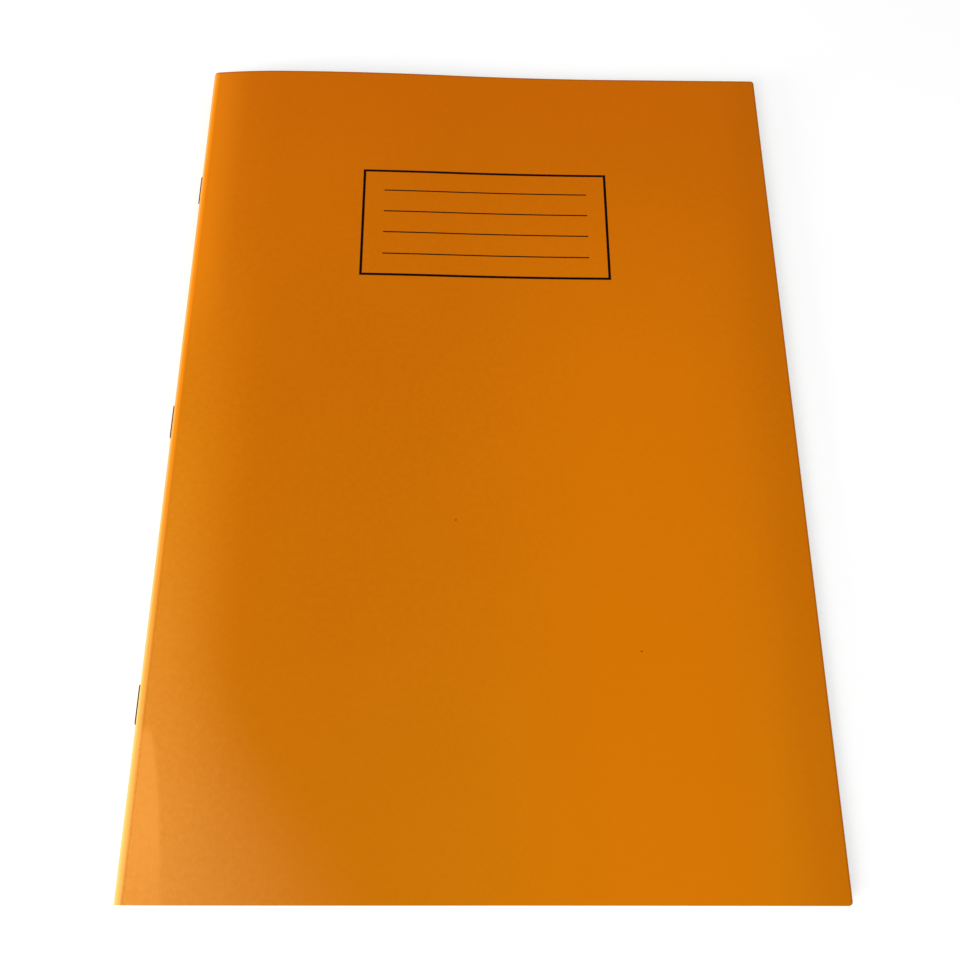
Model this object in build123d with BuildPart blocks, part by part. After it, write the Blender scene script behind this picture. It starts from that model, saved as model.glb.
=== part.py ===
"""Stapled exercise book lying closed on its back cover.

The book is a card cover and a pack of paper sheets, all folded once round the same line and held by
three wire staples.  Millimetres, +X from the spine to the fore edge, +Y to the head, +Z up.  The
origin is on the table below the middle of the book.
"""

import os
from math import sqrt

from build123d import *

# Paper and card
BOOK_WIDTH = 210.0
BOOK_HEIGHT = 297.0
SHEETS = 20
PAPER = 0.1
CARD = 0.28
CORNER_RADIUS = 1.2

# Staples
WIRE = 0.5
CROWN_LENGTH = 12.4
CLINCH_LENGTH = 4.6
BEND_RADIUS = 0.45
STAPLE_PITCH = 94.0
STAPLE_SHIFT = 1.5

# Clearances
WIRE_ROOM = 0.07
FOLD_GAP = 0.01
FORE_EDGE_GAP = 0.013
CROWN_GAP = 0.02
HINGE_GAP = 0.06
HOLE_ROOM = 0.08

# Shape of the closed pack, measured from the outside of the fold
CREST_HEIGHT = 8.2
CREST_DISTANCE = 28.0
LANDING_DISTANCE = 155.0
TURNED_COVER_LIFT = 0.1

# Nested folds: every sheet is bent round the same line
LEAVES = 2 * SHEETS
INNER_RADIUS = WIRE / 2 + WIRE_ROOM
FOLD_PITCH = PAPER + FOLD_GAP
COVER_RADIUS = INNER_RADIUS + SHEETS * FOLD_PITCH
NOSE_RADIUS = COVER_RADIUS + CARD

# The hinge line, and the round room round it that the fold and the staples keep to
CROWN_REACH = NOSE_RADIUS + CROWN_GAP + WIRE / 2
FOLD_REACH = CROWN_REACH + WIRE / 2
LEAF_REACH = FOLD_REACH + HINGE_GAP
FORE_EDGE_REACH = BOOK_WIDTH - NOSE_RADIUS
HINGE_X = (FOLD_REACH - FORE_EDGE_REACH) / 2
HINGE_Z = (CREST_HEIGHT + TURNED_COVER_LIFT) / 2

# Stations across the book
CREST_X = HINGE_X - NOSE_RADIUS + CREST_DISTANCE
LANDING_X = HINGE_X - NOSE_RADIUS + LANDING_DISTANCE
FORE_EDGE_X = HINGE_X + FORE_EDGE_REACH
CREST_PITCH = (CREST_HEIGHT - 2 * CARD) / LEAVES
FORE_EDGE_PITCH = PAPER + FORE_EDGE_GAP
FORE_EDGE_HEIGHT = 2 * CARD + LEAVES * FORE_EDGE_PITCH

# Staple places
LEG_SPREAD = CROWN_LENGTH - WIRE
STAPLES = {
    "staple_head": STAPLE_SHIFT + STAPLE_PITCH,
    "staple_middle": STAPLE_SHIFT,
    "staple_tail": STAPLE_SHIFT - STAPLE_PITCH,
}


def leaf_start(offset):
    """X where a panel whose nearer face is this far from the hinge line leaves the hinge's room."""
    return HINGE_X + sqrt(LEAF_REACH**2 - offset**2)


def level_arc(level, away, heading):
    """Draw an arc that is level at its start, or a straight line where it would hardly bend."""
    if abs(away[1] - level[1]) < FOLD_GAP:
        Line(level, away)
    else:
        TangentArc(level, away, tangent=(heading, 0))


def panel_face(start_x, fold_z, crest_z, fore_edge_z):
    """Draw one face of a panel: from the fold up to the crest and down to the flat fore part."""
    crest = (CREST_X, crest_z)
    landing = (LANDING_X, fore_edge_z)
    halfway = ((CREST_X + LANDING_X) / 2, (crest_z + fore_edge_z) / 2)
    level_arc(crest, (start_x, fold_z), -1)
    level_arc(crest, halfway, 1)
    level_arc(landing, halfway, -1)
    Line(landing, (FORE_EDGE_X, fore_edge_z))


def make_panel(label, start_x, fold_z, crest_z, fore_edge_z, thickness):
    """Make one leaf or cover panel from the heights of its underside and export it."""
    with BuildPart() as panel:
        with BuildSketch(Plane.XZ):
            with BuildLine():
                panel_face(start_x, fold_z, crest_z, fore_edge_z)
                panel_face(start_x, fold_z + thickness, crest_z + thickness, fore_edge_z + thickness)
                Line((start_x, fold_z), (start_x, fold_z + thickness))
                Line((FORE_EDGE_X, fore_edge_z), (FORE_EDGE_X, fore_edge_z + thickness))
            make_face()
        extrude(amount=BOOK_HEIGHT / 2, both=True)
        fore_corners = panel.edges().filter_by(Axis.Z).group_by(Axis.X)[-1]
        fillet(fore_corners, radius=CORNER_RADIUS)
    panel.part.label = label
    export_step(panel.part, f"parts/{label}.step")


def fold_section(inner_radius, thickness):
    """Draw the half round fold of one sheet with its two short straight ends."""
    outer_radius = inner_radius + thickness
    end_x = HINGE_X + sqrt(FOLD_REACH**2 - outer_radius**2)
    with BuildLine() as outline:
        for radius in (inner_radius, outer_radius):
            Line((end_x, HINGE_Z + radius), (HINGE_X, HINGE_Z + radius))
            CenterArc((HINGE_X, HINGE_Z), radius, 90, 180)
            Line((HINGE_X, HINGE_Z - radius), (end_x, HINGE_Z - radius))
        for side in (-1, 1):
            Line((end_x, HINGE_Z + side * inner_radius), (end_x, HINGE_Z + side * outer_radius))
    make_face(outline.edges())


def pierce_staple_holes():
    """Cut the six holes that the staple legs pass through, from outside the fold to the hinge line."""
    with BuildSketch(Plane.YZ.offset(HINGE_X - FOLD_REACH)) as holes:
        for staple_y in STAPLES.values():
            with Locations((staple_y - LEG_SPREAD / 2, HINGE_Z), (staple_y + LEG_SPREAD / 2, HINGE_Z)):
                Circle(WIRE / 2 + HOLE_ROOM)
    extrude(holes.sketch, amount=FOLD_REACH, mode=Mode.SUBTRACT)


os.makedirs("parts", exist_ok=True)

# Cover panels
make_panel("back_cover", leaf_start(COVER_RADIUS), HINGE_Z - NOSE_RADIUS, 0.0, 0.0, CARD)
make_panel(
    "front_cover",
    leaf_start(COVER_RADIUS),
    HINGE_Z + COVER_RADIUS,
    CREST_HEIGHT - CARD,
    FORE_EDGE_HEIGHT - CARD,
    CARD,
)

# Leaves: sheet 1 is the outermost, next to the cover, and its leaves are the first and the last
for sheet in range(1, SHEETS + 1):
    fold_offset = INNER_RADIUS + (SHEETS - sheet) * FOLD_PITCH
    below_back = sheet - 1
    below_front = LEAVES - sheet
    make_panel(
        f"back_leaf_{sheet:02d}",
        leaf_start(fold_offset),
        HINGE_Z - fold_offset - PAPER,
        CARD + below_back * CREST_PITCH + (CREST_PITCH - PAPER) / 2,
        CARD + below_back * FORE_EDGE_PITCH + FORE_EDGE_GAP / 2,
        PAPER,
    )
    make_panel(
        f"front_leaf_{sheet:02d}",
        leaf_start(fold_offset),
        HINGE_Z + fold_offset,
        CARD + below_front * CREST_PITCH + (CREST_PITCH - PAPER) / 2,
        CARD + below_front * FORE_EDGE_PITCH + FORE_EDGE_GAP / 2,
        PAPER,
    )

# Folds of all the sheets, one inside the other
with BuildPart() as sheet_folds:
    with BuildSketch(Plane.XZ):
        for sheet in range(1, SHEETS + 1):
            fold_section(INNER_RADIUS + (SHEETS - sheet) * FOLD_PITCH, PAPER)
    extrude(amount=BOOK_HEIGHT / 2, both=True)
    pierce_staple_holes()
sheet_folds.part.label = "sheet_folds"
export_step(sheet_folds.part, "parts/sheet_folds.step")

# Spine of the cover
with BuildPart() as cover_spine:
    with BuildSketch(Plane.XZ):
        fold_section(COVER_RADIUS, CARD)
    extrude(amount=BOOK_HEIGHT / 2, both=True)
    pierce_staple_holes()
cover_spine.part.label = "cover_spine"
export_step(cover_spine.part, "parts/cover_spine.step")

# Staples: crown outside the spine, legs through the fold, ends clinched inside the middle sheet
for label, staple_y in STAPLES.items():
    crown_x = HINGE_X - CROWN_REACH
    leg_y = LEG_SPREAD / 2
    with BuildPart() as staple:
        with BuildLine(Plane.XY.offset(HINGE_Z)) as wire_path:
            FilletPolyline(
                (HINGE_X, staple_y - leg_y + CLINCH_LENGTH),
                (HINGE_X, staple_y - leg_y),
                (crown_x, staple_y - leg_y),
                (crown_x, staple_y + leg_y),
                (HINGE_X, staple_y + leg_y),
                (HINGE_X, staple_y + leg_y - CLINCH_LENGTH),
                radius=BEND_RADIUS,
            )
        with BuildSketch(Plane(origin=wire_path.line @ 0, z_dir=wire_path.line % 0)):
            Circle(WIRE / 2)
        sweep(path=wire_path.line)
    staple.part.label = label
    export_step(staple.part, f"parts/{label}.step")
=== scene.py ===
"""Stapled exercise book: a card cover, folded paper sheets, wire staples and a printed label box."""

from math import atan2, pi, radians

import bmesh
import bpy
from mathutils import Matrix, Vector


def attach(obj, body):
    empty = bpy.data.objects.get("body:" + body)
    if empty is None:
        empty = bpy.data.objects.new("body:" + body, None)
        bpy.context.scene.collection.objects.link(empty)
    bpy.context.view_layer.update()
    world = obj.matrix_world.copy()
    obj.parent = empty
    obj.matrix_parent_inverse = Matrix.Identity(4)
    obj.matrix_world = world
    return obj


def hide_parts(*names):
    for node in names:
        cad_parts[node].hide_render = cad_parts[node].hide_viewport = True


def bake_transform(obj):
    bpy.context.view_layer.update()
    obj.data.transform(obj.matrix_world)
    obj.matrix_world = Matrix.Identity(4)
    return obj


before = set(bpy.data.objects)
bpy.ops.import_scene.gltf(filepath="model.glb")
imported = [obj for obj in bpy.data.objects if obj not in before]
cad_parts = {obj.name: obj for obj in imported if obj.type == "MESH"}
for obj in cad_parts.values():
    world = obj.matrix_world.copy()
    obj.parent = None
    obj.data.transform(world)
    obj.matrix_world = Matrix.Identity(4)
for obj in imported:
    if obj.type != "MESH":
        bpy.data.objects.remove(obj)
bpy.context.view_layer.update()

MM = 0.001

# Paper and card
BOOK_WIDTH = 210.0 * MM
BOOK_HEIGHT = 297.0 * MM
SHEETS = 20
PAPER = 0.1 * MM
CARD = 0.28 * MM
CORNER_RADIUS = 1.2 * MM

# Nested folds round the hinge line
INNER_RADIUS = 0.32 * MM
FOLD_PITCH = 0.11 * MM
COVER_RADIUS = INNER_RADIUS + SHEETS * FOLD_PITCH
NOSE_RADIUS = COVER_RADIUS + CARD
HINGE_X = -101.94 * MM
HINGE_Z = 4.15 * MM

# Shape of the closed pack, as distances from the hinge line and heights above the table
CREST = 28.0 * MM - NOSE_RADIUS
LANDING = 155.0 * MM - NOSE_RADIUS
FORE_EDGE = BOOK_WIDTH - NOSE_RADIUS
CREST_HEIGHT = 8.2 * MM
LEAVES = 2 * SHEETS
CREST_PITCH = (CREST_HEIGHT - 2 * CARD) / LEAVES
FORE_EDGE_GAP = 0.013 * MM
FORE_EDGE_PITCH = PAPER + FORE_EDGE_GAP
FORE_EDGE_HEIGHT = 2 * CARD + LEAVES * FORE_EDGE_PITCH

# Where the cover and the first leaf flex when they are turned, as distances from the hinge line: the cover
# with the first leaf, the first leaf just outside it, and the cover by itself; all clear the staple crowns
STRIP_FLEX = (1.7 * MM, 2.8 * MM)
LEAF_FLEX = (2.5 * MM, 3.8 * MM)
COVER_FLEX = (2.8 * MM, 3.9 * MM)

# Steps along each stretch of a panel, and the angle at which an edge is drawn sharp
FOLD_STEPS = 28
ROOT_STEPS = 2
STRIP_ROOT_STEPS = 3
FLEX_STEPS = 20
RISE_STEPS = 16
FALL_STEPS = 28
FORE_STEPS = 4
CORNER_STEPS = 5
SHARP_ANGLE = radians(35)

# Printed label box on the front cover
FRAME_LEFT, FRAME_RIGHT = -44.40 * MM, 45.47 * MM
FRAME_TAIL, FRAME_HEAD = 57.65 * MM, 103.12 * MM
FRAME_LINE = 0.94 * MM
RULE_LEFT, RULE_RIGHT = -36.5 * MM, 38.0 * MM
RULE_HEIGHTS = (94.08 * MM, 84.99 * MM, 76.01 * MM, 66.90 * MM)
RULE_LINE = 0.47 * MM
LABEL_MIDDLE = Vector((FRAME_LEFT + FRAME_RIGHT, FRAME_TAIL + FRAME_HEAD, 0.0)) / 2
LABEL_SKEW = radians(0.3)
LABEL_STEPS = 24
INK = 0.012 * MM

# Colours of the card
CARD_DEEP = (0.630, 0.157, 0.0, 1)
CARD_LIGHT = (0.688, 0.184, 0.0, 1)
CARD_CLOUD = (0.712, 0.198, 0.001, 1)
# Painted shade: the card's outside made deeper towards the head
CARD_PAINTED_HEAD_SHADE = (0.610, 0.127, 0.0, 1)
# Painted light: the card's outside made yellower towards the tail
CARD_PAINTED_TAIL_LIGHT = (0.625, 0.215, 0.002, 1)
# Painted light: a brighter band before the fore edge
CARD_LIGHT_BAND = (0.735, 0.190, 0.0, 1)
# Painted light: a warm glow by the fold, and a whiter painted sheen towards the tail
CARD_PAINTED_GLOW = (0.870, 0.370, 0.020, 1)
CARD_PAINTED_SHEEN = (0.905, 0.375, 0.080, 1)
# Painted highlight standing for a soft bend near the tail that catches the light
CARD_BEND_HIGHLIGHT = (1.0, 0.400, 0.070, 1)
# Painted light: brighter card by the fold near the head, also the head end of the painted nose highlight
CARD_PAINTED_LIGHT = (1.0, 0.280, 0.005, 1)
# Painted highlight on the rounded nose of the fold
CARD_NOSE_HIGHLIGHT = (1.0, 0.560, 0.130, 1)
# Painted highlight along the outer edge of the nose
CARD_NOSE_EDGE_HIGHLIGHT = (0.930, 0.560, 0.165, 1)
# Painted shade in the crease beside the fold
CARD_CREASE_SHADE = (0.560, 0.095, 0.0, 1)
# Painted shade, for the dull band beside the crest and towards the fore edge
CARD_PAINTED_SHADE = (0.500, 0.120, 0.0, 1)
# Painted shade along the head and fore edge rims
CARD_RIM_SHADE = (0.330, 0.080, 0.0, 1)
CARD_SPECK = (0.085, 0.026, 0.004, 1)

# Grain of the card: noise scales to the millimetre, spreads of noise and how much each shows
CARD_CLOUD_SCALE, CARD_MOTTLE_SCALE, CARD_GRIT_SCALE = 0.03, 0.45, 4.5
CARD_FIBRE_STRETCH = (2.6, 0.8, 1.0)
NOISE_SPREAD = (0.3, 0.7)
CLOUD_SPREAD, CLOUD_SHARE = (0.35, 0.75), 0.20
CARD_ROUGHNESS, CARD_GLOSS = (0.58, 0.70), 0.03
GRIT_RELIEF, CREASE_RELIEF = 0.35, -0.8
CARD_RELIEF, CARD_RELIEF_STRENGTH = 0.03 * MM, 0.5

# Marks on the card in millimetres of the unrolled sheet, each with its strength; all but the specks are
# painted shade and painted light
# Painted shade towards the head and painted light towards the tail
HEAD_SHADE_UP = (-20.0, 170.0)
HEAD_SHADE_AT_HEAD = 0.65
TAIL_LIGHT_UP = (-170.0, 20.0)
TAIL_LIGHT_AT_TAIL = 0.45
# Painted shade: a dull band beside the crest, where the cover's curve turns away from the light
SHADE_BAND_NEAR, SHADE_BAND_FAR = (6.0, 34.0), (40.0, 120.0)
SHADE_BAND_STRENGTH = 0.28
# Painted light: a brighter band before the fore edge, where the cover lies flat
LIGHT_BAND_NEAR, LIGHT_BAND_FAR = (90.0, 150.0), (165.0, 205.0)
LIGHT_BAND_SHARE = 0.60
# Both painted bands fade out towards the head
PAINTED_BANDS_UP = (0.0, 120.0)
# Painted glow and sheen by the fold: its reach and strength, wider and stronger towards the tail
GLOW_START = -6.0
GLOW_REACH_UP = (-170.0, -70.0)
GLOW_REACH_AT_TAIL, GLOW_REACH_AT_HEAD = 82.0, 28.0
GLOW_UP = (-190.0, 110.0)
GLOW_AT_TAIL, GLOW_AT_HEAD = 0.50, 0.07
GLOW_MOTTLE = (0.75, 1.25)
SHEEN_UP = (-150.0, 0.0)
# Painted light by the fold near the head
HEAD_LIGHT_ACROSS = (-3.0, 14.0)
HEAD_LIGHT_UP = (10.0, 70.0)
HEAD_LIGHT_AT_HEAD = 0.45
# Painted highlight of a soft bend near the tail: its wedge shape and strength
BEND_TOP = -98.0
BEND_SPREAD = 1.58
BEND_EDGE = (-0.9, 0.9)
BEND_TAPER = (0.0, 4.0)
BEND_UP = (-150.0, -125.0)
BEND_HIGHLIGHT_AT_TAIL, BEND_HIGHLIGHT_AT_TOP = 0.14, 0.34
# Painted highlight on the rounded nose, paler towards the tail
NOSE_WAVER = 0.5
NOSE_ACROSS = (-0.5, 0.6)
NOSE_UP = (-160.0, 10.0)
NOSE_HIGHLIGHT_SHARE = 0.66
# Painted highlight along the nose's outer edge, stronger towards the tail
NOSE_EDGE_ACROSS = (-2.0, -0.8)
NOSE_EDGE_UP = (-115.0, 25.0)
NOSE_EDGE_AT_TAIL, NOSE_EDGE_AT_HEAD = 0.85, 0.48
# Painted shade in the crease, stronger towards the tail
CREASE_PLACE = 0.80
CREASE_WAVER = 0.9
CREASE_LINE = (0.05, 0.30)
CREASE_BREAKS = (0.38, 0.62)
CREASE_UP = (-120.0, 60.0)
CREASE_AT_TAIL, CREASE_AT_HEAD = 0.45, 0.18
SPECK_PLACES = ((92.9, -33.6), (150.9, -75.8))
SPECK_EDGE = (0.12, 0.42)
SPECK_SHADE = 0.8
STRAY_SPECK_SCALE = 0.017
STRAY_SPECK_EDGE = (0.0045, 0.0075)
STRAY_SPECK_SHADE = 0.6
# Painted shade towards the fore edge, where the cover slopes away from the light
FORE_EDGE_SHADE_WIDTH = 22.0
FORE_EDGE_SHADE_STRENGTH = 0.38
# Painted shade along the head and fore edge rims
RIM_WAVER = -0.5
RIM_EDGE = (-0.20, 0.65)
RIM_SHADE = 0.70

# Colours of the paper and its ruling
PAGE_DEEP = (0.740, 0.725, 0.672, 1)
PAGE_LIGHT = (0.800, 0.792, 0.756, 1)
PAGE_CLOUD = (0.770, 0.742, 0.664, 1)
PAGE_YELLOWED = (0.730, 0.682, 0.567, 1)
FEINT_BLUE = (0.37, 0.49, 0.62, 1)
MARGIN_RED = (0.70, 0.30, 0.30, 1)

# Grain of the paper
PAGE_FIBRE_STRETCH = (1.8, 0.7, 1.0)
PAGE_CLOUD_SCALE = 0.05
PAGE_CLOUD_SPREAD, PAGE_CLOUD_SHARE = (0.4, 0.8), 0.4
PAGE_ROUGHNESS, PAGE_GLOSS = (0.80, 0.92), 0.3
PAGE_RELIEF, PAGE_RELIEF_STRENGTH = 0.015 * MM, 0.4

# Ruling of a page, in millimetres of the unrolled sheet
FEINT_PITCH = 8.0
FEINT_EDGE = (0.10, 0.24)
FEINT_HEAD = (121.5, 122.0)
FEINT_TAIL = (-138.0, -137.5)
MARGIN_PLACE = 30.0
MARGIN_LINE = (0.12, 0.14)
YELLOWED_WIDTH = 5.0
YELLOWED_SHADE = 0.35
RULING_SHARES = (0.55, 0.85)

# Colours and grain of the wire, the printing ink and the floor
WIRE_DULL = (0.034, 0.029, 0.025, 1)
WIRE_BRIGHT = (0.090, 0.082, 0.075, 1)
WIRE_FILM = (0.016, 0.011, 0.008, 1)
INK_SOLID = (0.002, 0.001, 0.001, 1)
INK_THIN = (0.014, 0.005, 0.002, 1)
WIRE_MARK_STRETCH = (9000.0, 500.0, 9000.0)
WIRE_FILM_SCALE = 900.0
WIRE_FILM_SPREAD, WIRE_FILM_SHARE = (0.45, 0.75), 0.6
WIRE_ROUGHNESS = (0.30, 0.52)
WIRE_RELIEF, WIRE_RELIEF_STRENGTH = 0.01 * MM, 0.4
INK_GRAIN_SCALE = 3.0
INK_GRAIN_SPREAD = (0.35, 0.8)
INK_ROUGHNESS, INK_GLOSS = (0.55, 0.75), 0.02
INK_RELIEF, INK_RELIEF_STRENGTH = 0.01 * MM, 0.3
FLOOR_PALE = (0.84, 0.84, 0.84, 1)
FLOOR_PALER = (0.86, 0.86, 0.86, 1)
FLOOR_CLOUD_SCALE, FLOOR_ROUGHNESS = 6.0, 0.9
WHITE = (1.0, 1.0, 1.0, 1.0)

# Studio: floor, sky, lamps and camera
FLOOR_HALF = 3.0
FLOOR_DROP = 0.1 * MM
FLOOR_GLOW_REACH = (0.25, 1.30)
FLOOR_GLOW_NEAR, FLOOR_GLOW_FAR = 0.28, 0.46
SKY_LIGHT, SKY_SHOWN = 0.65, 1.0
WINDOW_PLACE, WINDOW_POWER, WINDOW_SIZE = (-1.40, -0.50, 0.30), 9.5, 0.5
CEILING_PLACE, CEILING_POWER, CEILING_SIZE = (-0.55, -0.75, 0.75), 5.0, 0.6
CAMERA_SENSOR = 36.0
CAMERA_LENS = 37.697
CAMERA_NEAR = 0.01
CAMERA_PLACE = Vector((-4.946, -138.381, 314.481)) * MM
CAMERA_RIGHT = Vector((0.99992, 0.001613, 0.012534))
CAMERA_UP = Vector((-0.006011, 0.933131, 0.359486))
CAMERA_BACK = Vector((-0.011116, -0.359532, 0.933066))


# Node helpers

def set_socket(tree, socket, value):
    """Set a socket to a constant, or link it to another socket."""
    if isinstance(value, bpy.types.NodeSocket):
        tree.links.new(value, socket)
    else:
        socket.default_value = value


def reckon(tree, operation, first, second=0.0, third=0.0):
    """One sum on sockets or numbers."""
    node = tree.nodes.new("ShaderNodeMath")
    node.operation = operation
    for socket, value in zip(node.inputs, (first, second, third)):
        set_socket(tree, socket, value)
    return node.outputs[0]


def times(tree, first, second):
    """The product of two sockets or numbers."""
    return reckon(tree, "MULTIPLY", first, second)


def ramp(tree, value, edge, bottom=0.0, top=1.0):
    """A soft step from bottom to top while value goes from the edge's low end to its high end."""
    node = tree.nodes.new("ShaderNodeMapRange")
    node.interpolation_type = "SMOOTHSTEP"
    entries = {"Value": value, "From Min": edge[0], "From Max": edge[1], "To Min": bottom, "To Max": top}
    for name, entry in entries.items():
        set_socket(tree, node.inputs[name], entry)
    return node.outputs["Result"]


def line_mask(tree, value, place, line):
    """One on a thin line across value, and nought beside it; a line is its half width and its softness."""
    half_width, softness = line
    away = reckon(tree, "ABSOLUTE", reckon(tree, "SUBTRACT", value, place))
    return ramp(tree, away, (half_width, half_width + softness), 1.0, 0.0)


def noise(tree, vector, scale, detail=4.0, roughness=0.55):
    """Cloudy noise between nought and one."""
    node = tree.nodes.new("ShaderNodeTexNoise")
    tree.links.new(vector, node.inputs["Vector"])
    node.inputs["Scale"].default_value = scale
    node.inputs["Detail"].default_value = detail
    node.inputs["Roughness"].default_value = roughness
    return node.outputs["Fac"]


def stretched(tree, vector, scale):
    """The same coordinates, scaled differently along each axis."""
    node = tree.nodes.new("ShaderNodeMapping")
    tree.links.new(vector, node.inputs["Vector"])
    node.inputs["Scale"].default_value = scale
    return node.outputs["Vector"]


def measured(tree, operation, vector, other=(0.0, 0.0, 0.0)):
    """A length or distance of coordinates."""
    node = tree.nodes.new("ShaderNodeVectorMath")
    node.operation = operation
    tree.links.new(vector, node.inputs[0])
    node.inputs[1].default_value = other
    return node.outputs["Value"]


def tint(tree, share, first, second):
    """Mix two colours."""
    node = tree.nodes.new("ShaderNodeMix")
    node.data_type = "RGBA"
    set_socket(tree, node.inputs["Factor"], share)
    set_socket(tree, node.inputs[6], first)
    set_socket(tree, node.inputs[7], second)
    return node.outputs[2]


def bump(tree, height, distance, strength):
    """Surface relief from a height."""
    node = tree.nodes.new("ShaderNodeBump")
    tree.links.new(height, node.inputs["Height"])
    node.inputs["Distance"].default_value = distance
    node.inputs["Strength"].default_value = strength
    return node.outputs["Normal"]


def new_finish(name):
    """A fresh material with its node tree and shader."""
    material = bpy.data.materials.new(name)
    material.use_nodes = True
    tree = material.node_tree
    return material, tree, tree.nodes["Principled BSDF"]


def unrolled_millimetres(tree):
    """Place on the unrolled sheet: across from the fold, and up from the middle of the height."""
    place = tree.nodes.new("ShaderNodeUVMap")
    place.uv_map = "Unrolled"
    across_up = stretched(tree, place.outputs["UV"], (1 / MM, 1 / MM, 1.0))
    apart = tree.nodes.new("ShaderNodeSeparateXYZ")
    tree.links.new(across_up, apart.inputs["Vector"])
    return across_up, apart.outputs["X"], apart.outputs["Y"]


def outer_side_only(tree):
    """One on the outside of the cover, and nought on its inside."""
    node = tree.nodes.new("ShaderNodeAttribute")
    node.attribute_name = "outer_side"
    return node.outputs["Fac"]


# Finishes

def card_finish():
    """Orange manila card with fibres, cloudy dye and specks, and painted shade along its head and fore edge
    rims.

    Painted shade and light lie over it: deeper towards the head, yellower towards the tail, a dull band
    beside the crest, a brighter band before the fore edge and shade towards the fore edge. By the fold it
    carries a painted glow and sheen, painted light near the head, painted shade in its crease, a painted
    highlight for a soft bend near the tail, and painted highlights on the nose.
    """
    material, tree, shader = new_finish("cover_card")
    place, across, up = unrolled_millimetres(tree)
    outside = outer_side_only(tree)
    clouds = noise(tree, place, CARD_CLOUD_SCALE, detail=3.0)
    mottle = noise(tree, place, CARD_MOTTLE_SCALE, detail=5.0, roughness=0.65)
    along = stretched(tree, place, CARD_FIBRE_STRETCH)
    fibres = noise(tree, along, scale=1.0, detail=6.0, roughness=0.65)
    grit = noise(tree, place, CARD_GRIT_SCALE, detail=3.0, roughness=0.6)
    dye = reckon(tree, "MULTIPLY_ADD", mottle, 0.5, times(tree, fibres, 0.5))
    colour = tint(tree, ramp(tree, dye, NOISE_SPREAD), CARD_DEEP, CARD_LIGHT)
    colour = tint(tree, ramp(tree, clouds, CLOUD_SPREAD, 0.0, CLOUD_SHARE), colour, CARD_CLOUD)

    # Painted shade: the outside is made deeper towards the head
    head_shade = ramp(tree, up, HEAD_SHADE_UP, 0.0, HEAD_SHADE_AT_HEAD)
    colour = tint(tree, times(tree, head_shade, outside), colour, CARD_PAINTED_HEAD_SHADE)
    # Painted light: the outside is made yellower towards the tail
    tail_light = ramp(tree, up, TAIL_LIGHT_UP, TAIL_LIGHT_AT_TAIL, 0.0)
    colour = tint(tree, times(tree, tail_light, outside), colour, CARD_PAINTED_TAIL_LIGHT)
    # Painted shade beside the crest and painted light before the fore edge, both fading out towards the
    # head
    painted_bands = ramp(tree, up, PAINTED_BANDS_UP, outside, 0.0)
    shade_band = times(tree, ramp(tree, across, SHADE_BAND_NEAR), ramp(tree, across, SHADE_BAND_FAR, SHADE_BAND_STRENGTH, 0.0))
    colour = tint(tree, times(tree, shade_band, painted_bands), colour, CARD_PAINTED_SHADE)
    # Painted light: a brighter band before the fore edge
    light_band = times(tree, ramp(tree, across, LIGHT_BAND_NEAR), ramp(tree, across, LIGHT_BAND_FAR, LIGHT_BAND_SHARE, 0.0))
    colour = tint(tree, times(tree, light_band, painted_bands), colour, CARD_LIGHT_BAND)
    # Painted light: a glow and sheen by the fold, strongest towards the tail
    glow_reach = ramp(tree, up, GLOW_REACH_UP, GLOW_REACH_AT_TAIL, GLOW_REACH_AT_HEAD)
    painted_glow = ramp(tree, across, (GLOW_START, glow_reach), outside, 0.0)
    painted_glow = times(tree, painted_glow, ramp(tree, up, GLOW_UP, GLOW_AT_TAIL, GLOW_AT_HEAD))
    painted_glow = times(tree, painted_glow, ramp(tree, dye, NOISE_SPREAD, *GLOW_MOTTLE))
    glow_tone = tint(tree, ramp(tree, up, SHEEN_UP), CARD_PAINTED_SHEEN, CARD_PAINTED_GLOW)
    colour = tint(tree, painted_glow, colour, glow_tone)
    # Painted light: brighter card by the fold near the head
    head_light = ramp(tree, across, HEAD_LIGHT_ACROSS, outside, 0.0)
    head_light = times(tree, head_light, ramp(tree, up, HEAD_LIGHT_UP, 0.0, HEAD_LIGHT_AT_HEAD))
    colour = tint(tree, head_light, colour, CARD_PAINTED_LIGHT)

    # Painted highlight: a pale wedge by the fold near the tail, standing for a soft bend that catches the
    # light
    below_bend = reckon(tree, "MAXIMUM", reckon(tree, "SUBTRACT", BEND_TOP, up), 0.0)
    bend_reach = times(tree, reckon(tree, "SQRT", below_bend), BEND_SPREAD)
    bend_highlight = ramp(tree, reckon(tree, "SUBTRACT", across, bend_reach), BEND_EDGE, outside, 0.0)
    bend_highlight = times(tree, bend_highlight, ramp(tree, below_bend, BEND_TAPER))
    bend_highlight = times(tree, bend_highlight, ramp(tree, up, BEND_UP, BEND_HIGHLIGHT_AT_TAIL, BEND_HIGHLIGHT_AT_TOP))
    colour = tint(tree, bend_highlight, colour, CARD_BEND_HIGHLIGHT)

    # Painted highlight on the rounded nose, paler towards the tail
    ragged_nose = reckon(tree, "MULTIPLY_ADD", mottle, NOSE_WAVER, across)
    nose_highlight = times(tree, ramp(tree, ragged_nose, NOSE_ACROSS, outside, 0.0), NOSE_HIGHLIGHT_SHARE)
    nose_highlight_tone = tint(tree, ramp(tree, up, NOSE_UP), CARD_NOSE_HIGHLIGHT, CARD_PAINTED_LIGHT)
    colour = tint(tree, nose_highlight, colour, nose_highlight_tone)
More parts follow.
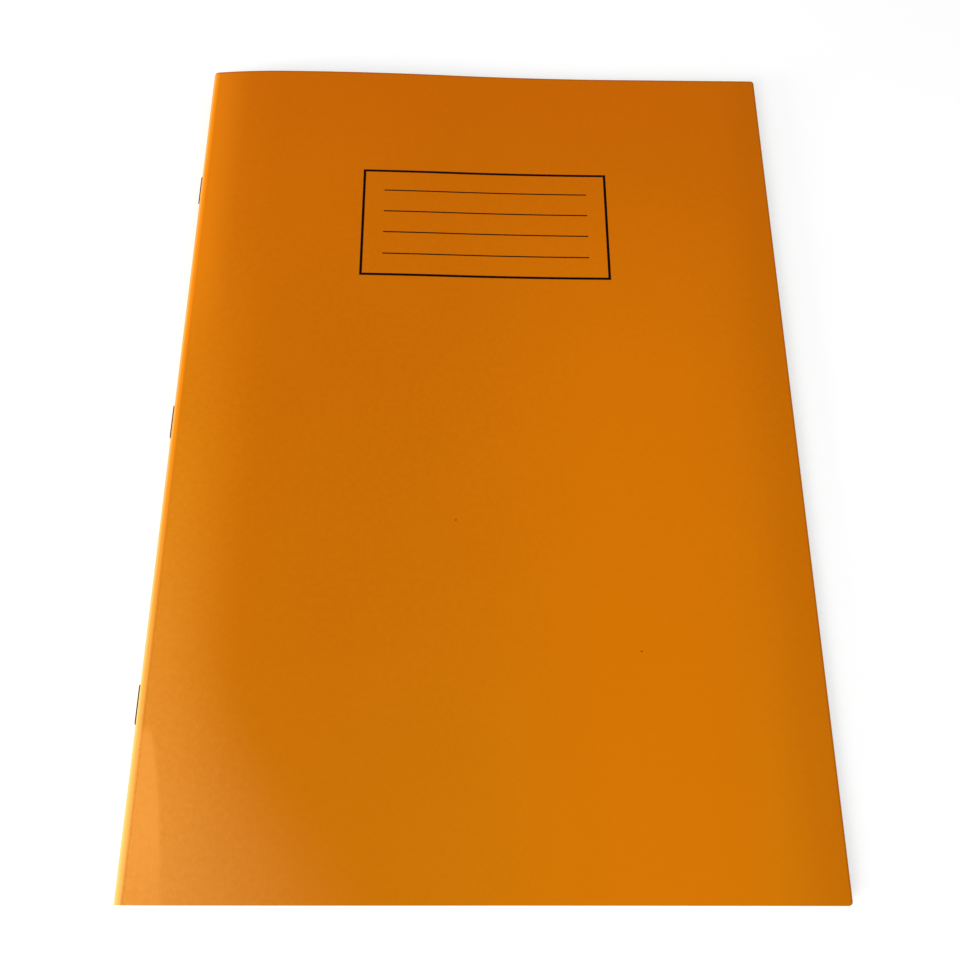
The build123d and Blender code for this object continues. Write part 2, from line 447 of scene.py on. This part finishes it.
    # Painted highlight along the nose's outer edge, stronger towards the tail
    nose_edge_highlight = ramp(tree, ragged_nose, NOSE_EDGE_ACROSS, outside, 0.0)
    nose_edge_highlight = times(tree, nose_edge_highlight, ramp(tree, up, NOSE_EDGE_UP, NOSE_EDGE_AT_TAIL, NOSE_EDGE_AT_HEAD))
    colour = tint(tree, nose_edge_highlight, colour, CARD_NOSE_EDGE_HIGHLIGHT)
    # Painted shade in the crease line; the same line also gives the crease its relief
    wavering = reckon(tree, "MULTIPLY_ADD", mottle, CREASE_WAVER, across)
    crease = line_mask(tree, wavering, CREASE_PLACE, CREASE_LINE)
    crease = times(tree, crease, ramp(tree, fibres, CREASE_BREAKS))
    crease_shade = ramp(tree, up, CREASE_UP, CREASE_AT_TAIL, CREASE_AT_HEAD)
    colour = tint(tree, times(tree, crease, crease_shade), colour, CARD_CREASE_SHADE)

    stray_specks = tree.nodes.new("ShaderNodeTexVoronoi")
    tree.links.new(place, stray_specks.inputs["Vector"])
    stray_specks.inputs["Scale"].default_value = STRAY_SPECK_SCALE
    stray = ramp(tree, stray_specks.outputs["Distance"], STRAY_SPECK_EDGE, STRAY_SPECK_SHADE, 0.0)
    colour = tint(tree, stray, colour, CARD_SPECK)
    for speck_across, speck_up in SPECK_PLACES:
        away = measured(tree, "DISTANCE", place, (speck_across, speck_up, 0.0))
        speck = ramp(tree, away, SPECK_EDGE, SPECK_SHADE, 0.0)
        colour = tint(tree, times(tree, speck, outside), colour, CARD_SPECK)

    to_head = reckon(tree, "SUBTRACT", BOOK_HEIGHT / 2 / MM, up)
    to_fore = reckon(tree, "SUBTRACT", FORE_EDGE / MM, across)
    # Painted shade towards the fore edge
    colour = tint(tree, ramp(tree, to_fore, (0.0, FORE_EDGE_SHADE_WIDTH), FORE_EDGE_SHADE_STRENGTH, 0.0), colour, CARD_PAINTED_SHADE)
    # Painted shade along the rims of the head and fore edge
    to_rim = reckon(tree, "MULTIPLY_ADD", grit, RIM_WAVER, reckon(tree, "MINIMUM", to_head, to_fore))
    colour = tint(tree, ramp(tree, to_rim, RIM_EDGE, RIM_SHADE, 0.0), colour, CARD_RIM_SHADE)

    tree.links.new(colour, shader.inputs["Base Color"])
    tree.links.new(ramp(tree, dye, (0.25, 0.75), *CARD_ROUGHNESS), shader.inputs["Roughness"])
    shader.inputs["Specular IOR Level"].default_value = CARD_GLOSS
    relief = reckon(tree, "MULTIPLY_ADD", grit, GRIT_RELIEF, fibres)
    relief = reckon(tree, "MULTIPLY_ADD", crease, CREASE_RELIEF, relief)
    tree.links.new(bump(tree, relief, CARD_RELIEF, CARD_RELIEF_STRENGTH), shader.inputs["Normal"])
    return material


def page_finish():
    """Off-white writing paper with feint rules and a margin line, a little yellowed at head and tail."""
    material, tree, shader = new_finish("page_paper")
    place, across, up = unrolled_millimetres(tree)
    along = stretched(tree, place, PAGE_FIBRE_STRETCH)
    fibres = noise(tree, along, scale=1.0, detail=6.0, roughness=0.65)
    clouds = noise(tree, place, PAGE_CLOUD_SCALE, detail=3.0)
    colour = tint(tree, ramp(tree, fibres, NOISE_SPREAD), PAGE_DEEP, PAGE_LIGHT)
    cloudy = ramp(tree, clouds, PAGE_CLOUD_SPREAD, 0.0, PAGE_CLOUD_SHARE)
    colour = tint(tree, cloudy, colour, PAGE_CLOUD)
    to_end = reckon(tree, "SUBTRACT", BOOK_HEIGHT / 2 / MM, reckon(tree, "ABSOLUTE", up))
    yellowed = ramp(tree, to_end, (0.0, YELLOWED_WIDTH), YELLOWED_SHADE, 0.0)
    colour = tint(tree, yellowed, colour, PAGE_YELLOWED)

    worn_ink = ramp(tree, fibres, (0.2, 0.8), *RULING_SHARES)
    feint = ramp(tree, reckon(tree, "PINGPONG", up, FEINT_PITCH / 2), FEINT_EDGE, 1.0, 0.0)
    feint = times(tree, feint, ramp(tree, up, FEINT_HEAD, 1.0, 0.0))
    feint = times(tree, feint, ramp(tree, up, FEINT_TAIL))
    colour = tint(tree, times(tree, feint, worn_ink), colour, FEINT_BLUE)
    margin = line_mask(tree, across, MARGIN_PLACE, MARGIN_LINE)
    colour = tint(tree, times(tree, margin, worn_ink), colour, MARGIN_RED)

    tree.links.new(colour, shader.inputs["Base Color"])
    tree.links.new(ramp(tree, fibres, (0.25, 0.75), *PAGE_ROUGHNESS), shader.inputs["Roughness"])
    shader.inputs["Specular IOR Level"].default_value = PAGE_GLOSS
    tree.links.new(bump(tree, fibres, PAGE_RELIEF, PAGE_RELIEF_STRENGTH), shader.inputs["Normal"])
    return material


def wire_finish():
    """Drawn steel wire: lengthwise drawing marks, dull patches and a dark film."""
    material, tree, shader = new_finish("staple_wire")
    place = tree.nodes.new("ShaderNodeTexCoord").outputs["Object"]
    marks = noise(tree, stretched(tree, place, WIRE_MARK_STRETCH), scale=1.0, detail=3.0)
    film = noise(tree, place, WIRE_FILM_SCALE, detail=4.0)
    colour = tint(tree, ramp(tree, marks, NOISE_SPREAD), WIRE_DULL, WIRE_BRIGHT)
    filmed = ramp(tree, film, WIRE_FILM_SPREAD, 0.0, WIRE_FILM_SHARE)
    colour = tint(tree, filmed, colour, WIRE_FILM)
    tree.links.new(colour, shader.inputs["Base Color"])
    tree.links.new(ramp(tree, film, NOISE_SPREAD, *WIRE_ROUGHNESS), shader.inputs["Roughness"])
    shader.inputs["Metallic"].default_value = 1.0
    tree.links.new(bump(tree, marks, WIRE_RELIEF, WIRE_RELIEF_STRENGTH), shader.inputs["Normal"])
    return material


def ink_finish():
    """Black printing ink with a little of the card's grain showing through."""
    material, tree, shader = new_finish("label_ink")
    place, *_ = unrolled_millimetres(tree)
    grain = noise(tree, place, INK_GRAIN_SCALE, detail=5.0, roughness=0.7)
    colour = tint(tree, ramp(tree, grain, INK_GRAIN_SPREAD), INK_SOLID, INK_THIN)
    tree.links.new(colour, shader.inputs["Base Color"])
    tree.links.new(ramp(tree, grain, NOISE_SPREAD, *INK_ROUGHNESS), shader.inputs["Roughness"])
    shader.inputs["Specular IOR Level"].default_value = INK_GLOSS
    tree.links.new(bump(tree, grain, INK_RELIEF, INK_RELIEF_STRENGTH), shader.inputs["Normal"])
    return material


# Shapes

def rising(share):
    """Heights of the run beside the fold, steep at the fold and level at the crest."""
    return 1 - (1 - share)**2


def easing(share):
    """Heights of a run that starts and ends level."""
    return 2 * share**2 if share < 0.5 else 1 - 2 * (1 - share)**2


def panel_height(distance, fold, crest, fore_edge):
    """Height of a panel's face at a distance from the hinge line."""
    if distance < CREST:
        return fold + (crest - fold) * rising(distance / CREST)
    if distance < LANDING:
        return crest + (fore_edge - crest) * easing((distance - CREST) / (LANDING - CREST))
    return fore_edge


def spaced(first, last, steps):
    """Evenly spaced distances, the last one left off."""
    return [first + (last - first) * step / steps for step in range(steps)]


def panel_distances(first, flex):
    """Where a panel is bent between its first distance and the fore edge."""
    distances = spaced(first, flex[0], ROOT_STEPS) if flex[0] > first else []
    distances += spaced(*flex, FLEX_STEPS)
    distances += spaced(flex[1], CREST, RISE_STEPS)
    distances += spaced(CREST, LANDING, FALL_STEPS)
    return distances + spaced(LANDING, FORE_EDGE, FORE_STEPS) + [FORE_EDGE]


def draw_out(bm, edge, path):
    """Draw an edge along a path of places across the book and heights, a face a step."""
    faces = []
    for (here, low), (there, high) in zip(path, path[1:]):
        drawn = bmesh.ops.extrude_edge_only(bm, edges=[edge])["geom"]
        verts = [part for part in drawn if isinstance(part, bmesh.types.BMVert)]
        bmesh.ops.translate(bm, verts=verts, vec=(there - here, 0.0, high - low))
        edge = bm.edges.get(verts)
        faces += [part for part in drawn if isinstance(part, bmesh.types.BMFace)]
    return faces


def upright_edge(bm, x, tail, head, z):
    """The edge that a sheet is drawn or spun from."""
    return bm.edges.new((bm.verts.new((x, tail, z)), bm.verts.new((x, head, z))))


def thicken(bm, thickness, outward):
    """Give a bare sheet its thickness on the side that outward points to."""
    bm.normal_update()
    turned = [face for face in bm.faces if face.normal.dot(outward(face.calc_center_median())) > 0]
    bmesh.ops.reverse_faces(bm, faces=turned)
    bm.normal_update()
    bmesh.ops.solidify(bm, geom=bm.faces[:], thickness=thickness)


def unrolled(place):
    """Distance from the fold along the sheet, and place along the height."""
    if place.x > HINGE_X:
        return place.x - HINGE_X, place.y
    return -NOSE_RADIUS * atan2(HINGE_X - place.x, abs(place.z - HINGE_Z)), place.y


def on_outer_side(face):
    """One where a face looks away from the inside of the book, and nought where it looks in."""
    middle = face.calc_center_median()
    outward = Vector((min(middle.x - HINGE_X, 0.0), 0.0, middle.z - HINGE_Z))
    return 1.0 if face.normal.dot(outward) > 0 else 0.0


def add_piece(name, bm, material, two_pages=False):
    """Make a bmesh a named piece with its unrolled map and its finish.

    The underside of a leaf that bears two pages is mapped from the fore edge, so that the margin of each
    page is at its own left.
    """
    bmesh.ops.recalc_face_normals(bm, faces=bm.faces[:])
    flat_map = bm.loops.layers.uv.new("Unrolled")
    outer_side = bm.faces.layers.float.new("outer_side")
    for face in bm.faces:
        face.smooth = True
        face[outer_side] = on_outer_side(face)
        for loop in face.loops:
            across, up = unrolled(loop.vert.co)
            if two_pages and face.normal.z < 0:
                across = FORE_EDGE - across
            loop[flat_map].uv = (across, up)
    for edge in bm.edges:
        edge.smooth = edge.calc_face_angle(pi) < SHARP_ANGLE
    mesh = bpy.data.meshes.new(name)
    bm.to_mesh(mesh)
    bm.free()
    mesh.materials.append(material)
    piece = bpy.data.objects.new(name, mesh)
    bpy.context.scene.collection.objects.link(piece)
    return piece


def panel_mesh(distances, heights, thickness, upward):
    """A leaf or cover panel with rounded fore edge corners, thickened up or down from its inner face."""
    bm = bmesh.new()
    path = [(HINGE_X + distance, panel_height(distance, *heights)) for distance in distances]
    edge = upright_edge(bm, path[0][0], -BOOK_HEIGHT / 2, BOOK_HEIGHT / 2, path[0][1])
    draw_out(bm, edge, path)
    if distances[-1] == FORE_EDGE:
        fore_edge = max(vert.co.x for vert in bm.verts)
        corners = [vert for vert in bm.verts if vert.co.x == fore_edge]
        bmesh.ops.bevel(
            bm, geom=corners, offset=CORNER_RADIUS, offset_type="OFFSET", segments=CORNER_STEPS,
            profile=0.5, affect="VERTICES", material=-1,
        )
    side = Vector((0.0, 0.0, 1.0 if upward else -1.0))
    thicken(bm, thickness, lambda place: side)
    return bm


def fold_mesh(radius, thickness):
    """Half round fold of one sheet, spun round the hinge line from the back half to the front half."""
    bm = bmesh.new()
    edge = upright_edge(bm, HINGE_X, -BOOK_HEIGHT / 2, BOOK_HEIGHT / 2, HINGE_Z - radius)
    hinge = Vector((HINGE_X, 0.0, HINGE_Z))
    bmesh.ops.spin(
        bm, geom=[*edge.verts, edge], cent=hinge, axis=(0.0, 1.0, 0.0), dvec=(0.0, 0.0, 0.0), angle=pi,
        steps=FOLD_STEPS, use_merge=False, use_duplicate=False,
    )
    thicken(bm, thickness, lambda place: Vector((place.x - hinge.x, 0.0, place.z - hinge.z)))
    return bm


def fold_offset(sheet):
    """Radius of a sheet's fold; sheet 1 is the outermost."""
    return INNER_RADIUS + (SHEETS - sheet) * FOLD_PITCH


def back_leaf_heights(sheet):
    """Upper face of a back leaf: fold, crest and fore edge."""
    offset = fold_offset(sheet)
    crest = CARD + (sheet - 1) * CREST_PITCH + (CREST_PITCH + PAPER) / 2
    fore_edge = CARD + (sheet - 1) * FORE_EDGE_PITCH + FORE_EDGE_GAP / 2 + PAPER
    return HINGE_Z - offset, crest, fore_edge


def front_leaf_heights(sheet):
    """Under face of a front leaf: fold, crest and fore edge."""
    offset = fold_offset(sheet)
    crest = CARD + (LEAVES - sheet) * CREST_PITCH + (CREST_PITCH - PAPER) / 2
    fore_edge = CARD + (LEAVES - sheet) * FORE_EDGE_PITCH + FORE_EDGE_GAP / 2
    return HINGE_Z + offset, crest, fore_edge


BACK_COVER_HEIGHTS = (HINGE_Z - COVER_RADIUS, CARD, CARD)
FRONT_COVER_HEIGHTS = (HINGE_Z + COVER_RADIUS, CREST_HEIGHT - CARD, FORE_EDGE_HEIGHT - CARD)


def flex_between(piece):
    """Bake a piece's placement into its mesh."""
    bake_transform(piece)


def roll_open(piece):
    """Bake a fold's placement into its mesh."""
    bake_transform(piece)


card = card_finish()
page = page_finish()
wire = wire_finish()
ink = ink_finish()

# Cover: back panel, round spine, the strip beside the fold and the front panel
back_distances = panel_distances(0.0, COVER_FLEX)
cover_back = add_piece(
    "cover_back_panel", panel_mesh(back_distances, BACK_COVER_HEIGHTS, CARD, False), card,
)
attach(cover_back, "back_half")
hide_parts("back_cover")

cover_fold = add_piece("cover_fold", fold_mesh(COVER_RADIUS, CARD), card)
roll_open(cover_fold)
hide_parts("cover_spine")

strip_distances = spaced(0.0, STRIP_FLEX[0], STRIP_ROOT_STEPS)
strip_distances += spaced(*STRIP_FLEX, FLEX_STEPS) + [STRIP_FLEX[1]]
cover_strip = add_piece(
    "cover_hinge_strip", panel_mesh(strip_distances, FRONT_COVER_HEIGHTS, CARD, True), card,
)
flex_between(cover_strip)

front_distances = panel_distances(COVER_FLEX[0], COVER_FLEX)
cover_front = add_piece(
    "cover_front_panel", panel_mesh(front_distances, FRONT_COVER_HEIGHTS, CARD, True), card,
)
flex_between(cover_front)
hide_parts("front_cover")

# Sheets: back leaf, fold and front leaf of each
# The outermost fold stands for the nested folds of the solids
leaf_distances = panel_distances(0.0, LEAF_FLEX)
for sheet in range(1, SHEETS + 1):
    back_leaf = add_piece(
        f"sheet_{sheet:02d}_back", panel_mesh(leaf_distances, back_leaf_heights(sheet), PAPER, False),
        page, two_pages=True,
    )
    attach(back_leaf, "back_half")
    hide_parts(f"back_leaf_{sheet:02d}")
    sheet_fold = add_piece(
        f"sheet_{sheet:02d}_fold", fold_mesh(fold_offset(sheet), PAPER), page,
    )
    roll_open(sheet_fold)
    if sheet == 1:
        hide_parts("sheet_folds")
    front_leaf = add_piece(
        f"sheet_{sheet:02d}_front", panel_mesh(leaf_distances, front_leaf_heights(sheet), PAPER, True),
        page, two_pages=True,
    )
    if sheet == 1:
        flex_between(front_leaf)
    else:
        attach(front_leaf, f"front_leaf_{sheet:02d}")
    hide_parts(f"front_leaf_{sheet:02d}")

# Staples
for name in ("staple_head", "staple_middle", "staple_tail"):
    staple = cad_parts[name]
    staple.data.materials.clear()
    staple.data.materials.append(wire)


# Label box: an outer frame and four writing rules, printed on the front panel

def cover_top(x):
    """Height of the front cover's outer face."""
    return panel_height(x - HINGE_X, *FRONT_COVER_HEIGHTS) + CARD


def print_patch(bm, left, right, tail, head):
    """A patch of the cover's outer face."""
    path = [(x, cover_top(x)) for x in [*spaced(left, right, LABEL_STEPS), right]]
    return draw_out(bm, upright_edge(bm, left, tail, head, path[0][1]), path)


def ink_piece(name, bm):
    """Set a printed patch a little askew, give it its ink's thickness and fasten it to the front panel."""
    bmesh.ops.rotate(bm, verts=bm.verts[:], cent=LABEL_MIDDLE, matrix=Matrix.Rotation(LABEL_SKEW, 3, "Z"))
    for vert in bm.verts:
        vert.co.z = cover_top(vert.co.x)
    thicken(bm, INK, lambda place: Vector((0.0, 0.0, 1.0)))
    piece = add_piece(name, bm, ink)
    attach(piece, "front_cover")


frame_mesh = bmesh.new()
inside = print_patch(frame_mesh, FRAME_LEFT, FRAME_RIGHT, FRAME_TAIL, FRAME_HEAD)
bmesh.ops.inset_region(
    frame_mesh, faces=inside, thickness=FRAME_LINE, use_boundary=True, use_even_offset=True,
)
bmesh.ops.delete(frame_mesh, geom=inside, context="FACES")
ink_piece("label_frame", frame_mesh)

rules_mesh = bmesh.new()
for height in RULE_HEIGHTS:
    print_patch(rules_mesh, RULE_LEFT, RULE_RIGHT, height - RULE_LINE / 2, height + RULE_LINE / 2)
ink_piece("label_rules", rules_mesh)


# Floor, light and camera

def shown_ray(tree):
    """One for rays that show the surroundings: straight from the camera, in a gloss or through glass."""
    path = tree.nodes.new("ShaderNodeLightPath")
    seen = reckon(tree, "MAXIMUM", path.outputs["Is Camera Ray"], path.outputs["Is Glossy Ray"])
    return reckon(tree, "MAXIMUM", seen, path.outputs["Is Transmission Ray"])


def floor_finish():
    """Pale matt studio floor that stays white far from the book."""
    material, tree, shader = new_finish("studio_floor")
    place = tree.nodes.new("ShaderNodeTexCoord").outputs["Object"]
    clouds = noise(tree, place, FLOOR_CLOUD_SCALE, detail=2.0)
    tree.links.new(tint(tree, clouds, FLOOR_PALE, FLOOR_PALER), shader.inputs["Base Color"])
    shader.inputs["Roughness"].default_value = FLOOR_ROUGHNESS
    shader.inputs["Specular IOR Level"].default_value = 0.0
    shader.inputs["Emission Color"].default_value = WHITE
    from_book = measured(tree, "LENGTH", place)
    glow = ramp(tree, from_book, FLOOR_GLOW_REACH, FLOOR_GLOW_NEAR, FLOOR_GLOW_FAR)
    tree.links.new(times(tree, shown_ray(tree), glow), shader.inputs["Emission Strength"])
    return material


floor_mesh = bmesh.new()
bmesh.ops.create_grid(floor_mesh, x_segments=1, y_segments=1, size=FLOOR_HALF)
bmesh.ops.translate(floor_mesh, verts=floor_mesh.verts[:], vec=(0.0, 0.0, -FLOOR_DROP))
floor_data = bpy.data.meshes.new("floor")
floor_mesh.to_mesh(floor_data)
floor_mesh.free()
floor_data.materials.append(floor_finish())
floor = bpy.data.objects.new("floor", floor_data)
bpy.context.scene.collection.objects.link(floor)

world = bpy.data.worlds.new("studio")
bpy.context.scene.world = world
world.use_nodes = True
sky = world.node_tree.nodes["Background"]
sky.inputs["Color"].default_value = WHITE
sky_strength = ramp(world.node_tree, shown_ray(world.node_tree), (0.0, 1.0), SKY_LIGHT, SKY_SHOWN)
world.node_tree.links.new(sky_strength, sky.inputs["Strength"])


def add_lamp(name, place, power, size):
    """A square soft lamp turned towards the middle of the book."""
    data = bpy.data.lights.new(name, "AREA")
    data.energy = power
    data.size = size
    lamp = bpy.data.objects.new(name, data)
    lamp.location = place
    lamp.rotation_euler = (-Vector(place)).to_track_quat("-Z", "Y").to_euler()
    bpy.context.scene.collection.objects.link(lamp)


add_lamp("window", WINDOW_PLACE, WINDOW_POWER, WINDOW_SIZE)
add_lamp("ceiling", CEILING_PLACE, CEILING_POWER, CEILING_SIZE)

camera_data = bpy.data.cameras.new("camera")
camera_data.sensor_width = CAMERA_SENSOR
camera_data.lens = CAMERA_LENS
camera_data.clip_start = CAMERA_NEAR
camera = bpy.data.objects.new("camera", camera_data)
bpy.context.scene.collection.objects.link(camera)
camera_turn = Matrix((CAMERA_RIGHT, CAMERA_UP, CAMERA_BACK)).transposed()
camera.matrix_world = Matrix.Translation(CAMERA_PLACE) @ camera_turn.to_4x4()
bpy.context.scene.camera = camera

bpy.context.scene.view_settings.view_transform = "Standard"
